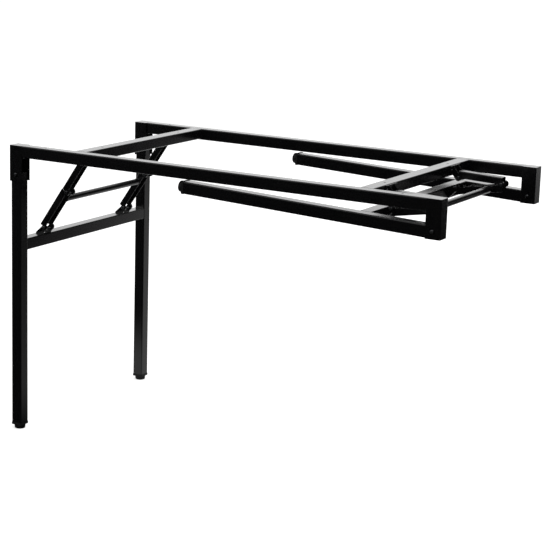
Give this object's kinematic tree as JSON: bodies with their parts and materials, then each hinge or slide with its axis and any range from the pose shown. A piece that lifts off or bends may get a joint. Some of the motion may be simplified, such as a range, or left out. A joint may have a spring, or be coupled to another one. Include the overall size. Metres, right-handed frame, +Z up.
{
  "type": "folding table base",
  "caption": "Black steel folding table base: rails and cross beams for a table top, with a fold-down leg frame at each end, locking two-link braces and levelling feet.",
  "frame": {"origin": "on the floor, under the middle of the frame", "axes": "+X along the table towards the folded end, +Y towards the rear rail, +Z up"},
  "size_m": [1.16, 0.58, 0.725],
  "materials": {
    "black_powder_coat": "satin",
    "black_coated_pressings": "satin",
    "blackened_rivet_steel": "satin",
    "zinc_plated_stud": "satin",
    "black_moulded_plastic": "matte"
  },
  "bodies": {
    "top_frame": {"front_rail": "black_powder_coat", "rear_rail": "black_powder_coat", "left_cross_beam": "black_powder_coat", "left_front_post": "black_powder_coat", "left_rear_post": "black_powder_coat", "left_front_beam_bracket": "black_coated_pressings", "left_rear_beam_bracket": "black_coated_pressings", "left_leg_pivot_rivets": "blackened_rivet_steel", "left_beam_bracket_pins": "blackened_rivet_steel", "left_beam_bracket_rivets": "blackened_rivet_steel", "right_cross_beam": "black_powder_coat", "right_front_post": "black_powder_coat", "right_rear_post": "black_powder_coat", "right_front_beam_bracket": "black_coated_pressings", "right_rear_beam_bracket": "black_coated_pressings", "right_leg_pivot_rivets": "blackened_rivet_steel", "right_beam_bracket_pins": "blackened_rivet_steel", "right_beam_bracket_rivets": "blackened_rivet_steel"},
    "left_leg_frame": {"left_front_leg": "black_powder_coat", "left_rear_leg": "black_powder_coat", "left_leg_crossbar": "black_powder_coat", "left_front_leg_bracket": "black_coated_pressings", "left_rear_leg_bracket": "black_coated_pressings", "left_leg_bracket_pins": "blackened_rivet_steel", "left_leg_bracket_rivets": "blackened_rivet_steel", "left_front_end_cap": "black_moulded_plastic", "left_rear_end_cap": "black_moulded_plastic"},
    "left_upper_links": {"left_front_upper_link": "black_coated_pressings", "left_rear_upper_link": "black_coated_pressings", "left_knee_shanks": "blackened_rivet_steel"},
    "left_lower_links": {"left_front_lower_link": "black_coated_pressings", "left_rear_lower_link": "black_coated_pressings", "left_release_rod": "black_powder_coat", "left_knee_heads": "blackened_rivet_steel"},
    "left_front_foot": {"left_front_foot_pad": "black_moulded_plastic", "left_front_foot_stud": "zinc_plated_stud"},
    "left_rear_foot": {"left_rear_foot_pad": "black_moulded_plastic", "left_rear_foot_stud": "zinc_plated_stud"},
    "right_leg_frame": {"right_front_leg": "black_powder_coat", "right_rear_leg": "black_powder_coat", "right_leg_crossbar": "black_powder_coat", "right_front_leg_bracket": "black_coated_pressings", "right_rear_leg_bracket": "black_coated_pressings", "right_leg_bracket_pins": "blackened_rivet_steel", "right_leg_bracket_rivets": "blackened_rivet_steel", "right_front_end_cap": "black_moulded_plastic", "right_rear_end_cap": "black_moulded_plastic"},
    "right_upper_links": {"right_front_upper_link": "black_coated_pressings", "right_rear_upper_link": "black_coated_pressings", "right_knee_shanks": "blackened_rivet_steel"},
    "right_lower_links": {"right_front_lower_link": "black_coated_pressings", "right_rear_lower_link": "black_coated_pressings", "right_release_rod": "black_powder_coat", "right_knee_heads": "blackened_rivet_steel"},
    "right_front_foot": {"right_front_foot_pad": "black_moulded_plastic", "right_front_foot_stud": "zinc_plated_stud"},
    "right_rear_foot": {"right_rear_foot_pad": "black_moulded_plastic", "right_rear_foot_stud": "zinc_plated_stud"}
  },
  "joints": [
    {"name": "left_leg_fold", "type": "hinge", "parent": "top_frame", "child": "left_leg_frame", "pos_m": [-0.5608, 0, 0.6525], "axis": [0, -1, 0], "range_deg": [0, 88.5]},
    {"name": "right_leg_fold", "type": "hinge", "parent": "top_frame", "child": "right_leg_frame", "pos_m": [0.5608, 0, 0.6525], "axis": [0, 1, 0], "range_deg": [-92.2, 0]},
    {"name": "left_upper_links_turn", "type": "hinge", "parent": "top_frame", "child": "left_upper_links", "pos_m": [-0.41939, 0, 0.69463], "axis": [0, -1, 0], "range_deg": [-53.58, 0]},
    {"name": "left_lower_links_turn", "type": "hinge", "parent": "left_leg_frame", "child": "left_lower_links", "pos_m": [-0.5483, 0, 0.5055], "axis": [0, -1, 0], "range_deg": [0, 22.38]},
    {"name": "right_upper_links_turn", "type": "hinge", "parent": "top_frame", "child": "right_upper_links", "pos_m": [0.41939, 0, 0.69463], "axis": [0, 1, 0], "range_deg": [0, 53.58]},
    {"name": "right_lower_links_turn", "type": "hinge", "parent": "right_leg_frame", "child": "right_lower_links", "pos_m": [0.41439, 0, 0.67063], "axis": [0, 1, 0], "range_deg": [-22.38, 0]},
    {"name": "left_front_foot_slide", "type": "slide", "parent": "left_leg_frame", "child": "left_front_foot", "axis": [0, 0, -1], "range_m": [0, 0.008]},
    {"name": "left_rear_foot_slide", "type": "slide", "parent": "left_leg_frame", "child": "left_rear_foot", "axis": [0, 0, -1], "range_m": [0, 0.008]},
    {"name": "right_front_foot_slide", "type": "slide", "parent": "right_leg_frame", "child": "right_front_foot", "axis": [-0.9993, 0, 0.0384], "range_m": [0, 0.008]},
    {"name": "right_rear_foot_slide", "type": "slide", "parent": "right_leg_frame", "child": "right_rear_foot", "axis": [-0.9993, 0, 0.0384], "range_m": [0, 0.008]}
  ],
  "couplings": [
    {"joint": "left_upper_links_turn", "follows": "left_leg_fold", "ratio": -0.58109},
    {"joint": "left_lower_links_turn", "follows": "left_leg_fold", "ratio": 0.24271},
    {"joint": "right_upper_links_turn", "follows": "right_leg_fold", "ratio": -0.58109},
    {"joint": "right_lower_links_turn", "follows": "right_leg_fold", "ratio": 0.24271}
  ]
}
